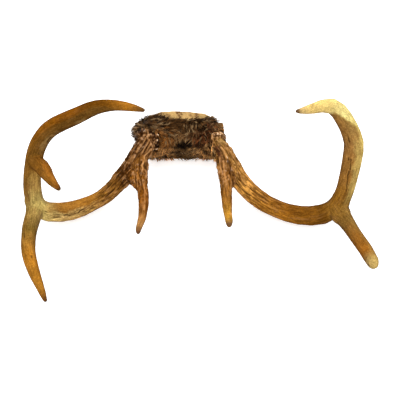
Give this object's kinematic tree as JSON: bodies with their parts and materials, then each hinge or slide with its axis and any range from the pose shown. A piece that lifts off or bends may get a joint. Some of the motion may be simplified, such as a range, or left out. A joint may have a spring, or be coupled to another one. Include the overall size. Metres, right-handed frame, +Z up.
{
  "type": "deer skull cap mount",
  "caption": "Deer antlers on a sawn skull cap with its hide, lying on its flat cut face, for display or for fixing to a plaque.",
  "frame": {"origin": "middle of the underside of the object's box, on the surface that it lies on", "axes": "+X from the left antler in the picture to the right one, +Y to the nose end of the skull cap, +Z up out of the cut face"},
  "size_m": [0.4402, 0.277, 0.1984],
  "materials": {
    "antler": "orange-brown antler, dark and pearled at the burr, worn pale along the ridges and tips",
    "bone": "dry cream skull bone with dark specks",
    "fur": "short dark brown deer hair with paler and rusty strands"
  },
  "bodies": {
    "root": {"left_antler": "antler", "right_antler": "antler", "skull_cap": "bone", "hide": "fur"}
  },
  "joints": []
}
